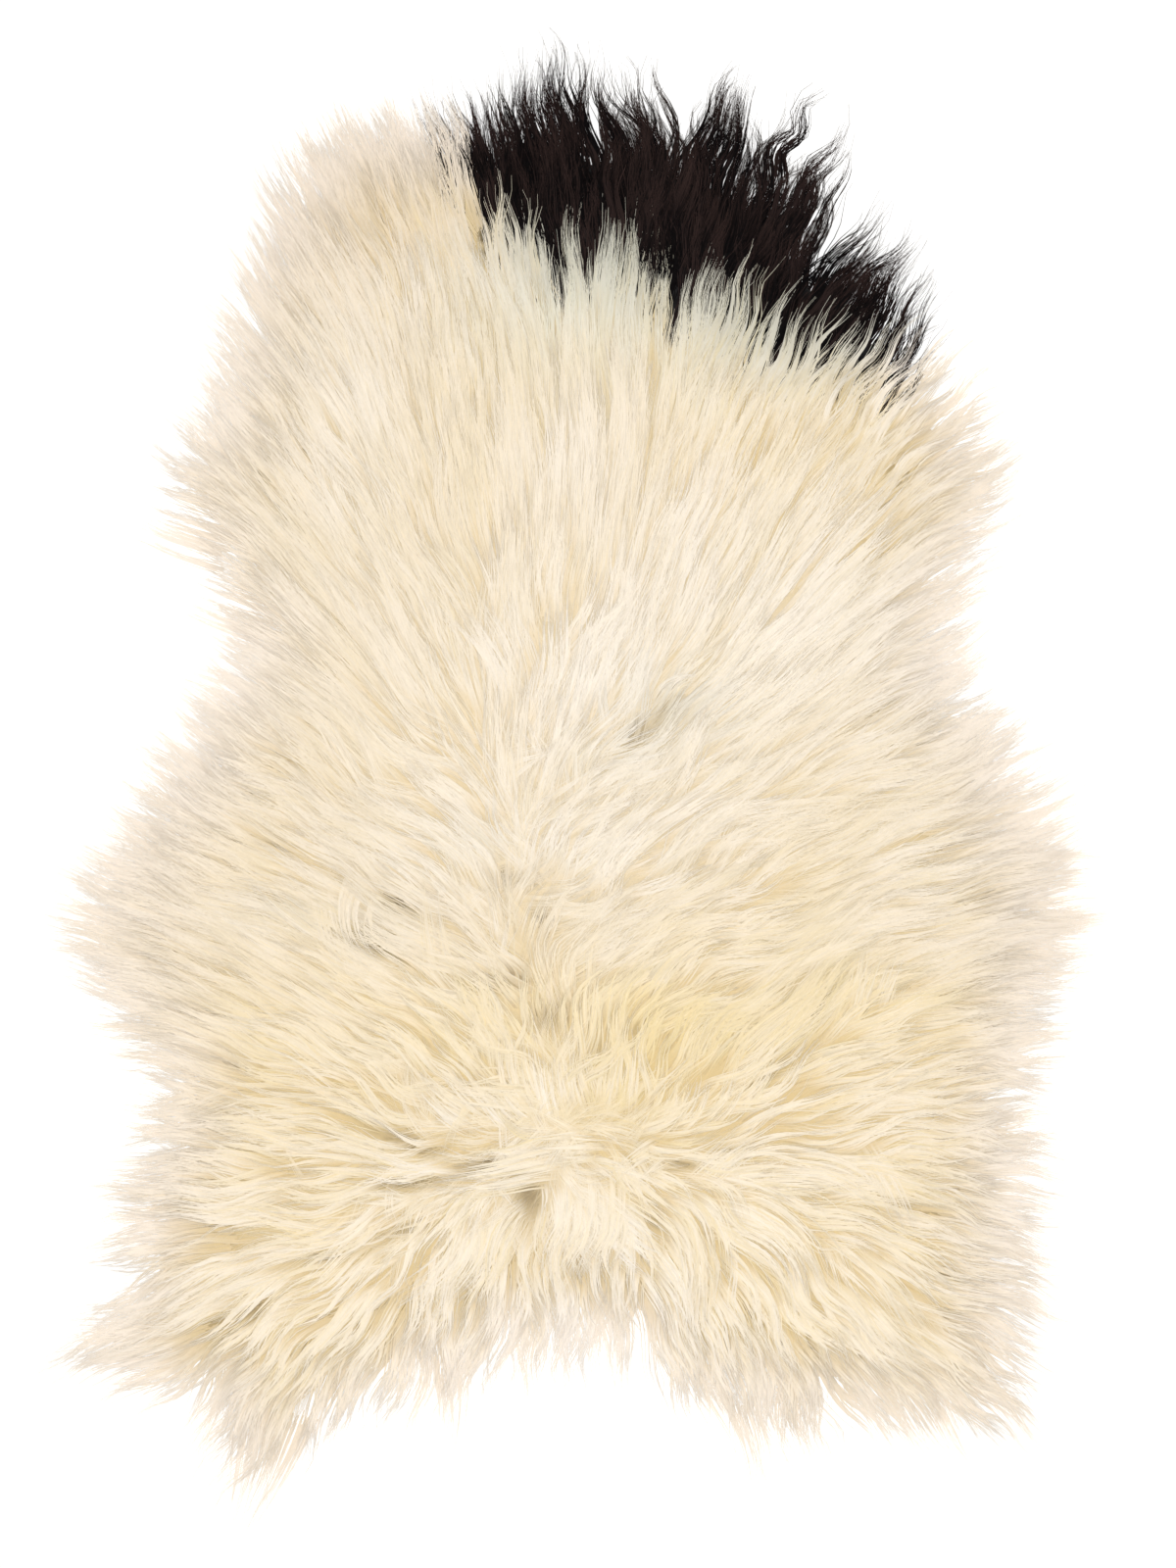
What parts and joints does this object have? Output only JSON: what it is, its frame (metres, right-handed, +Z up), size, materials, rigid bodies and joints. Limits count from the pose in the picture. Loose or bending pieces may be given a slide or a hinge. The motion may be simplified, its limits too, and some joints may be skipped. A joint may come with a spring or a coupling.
{
  "type": "sheepskin rug",
  "caption": "Sheepskin rug with long cream wool and a dark patch at the nape, lying flat wool side up, with tapered locks of wool all round its rim.",
  "frame": {"origin": "on the floor, under the middle of the box around the rug, wool tips included", "axes": "+Z up out of the wool, +Y along the back to the nape with the dark patch, -Y to the tail, +X to the right seen from above with the nape at the top"},
  "size_m": [0.8424, 1.1474, 0.0767],
  "materials": {
    "wool": "long natural wool, cream with a black and brown patch at the nape, soft sheen on the locks"
  },
  "bodies": {
    "root": {"fleece": "wool"}
  },
  "joints": []
}
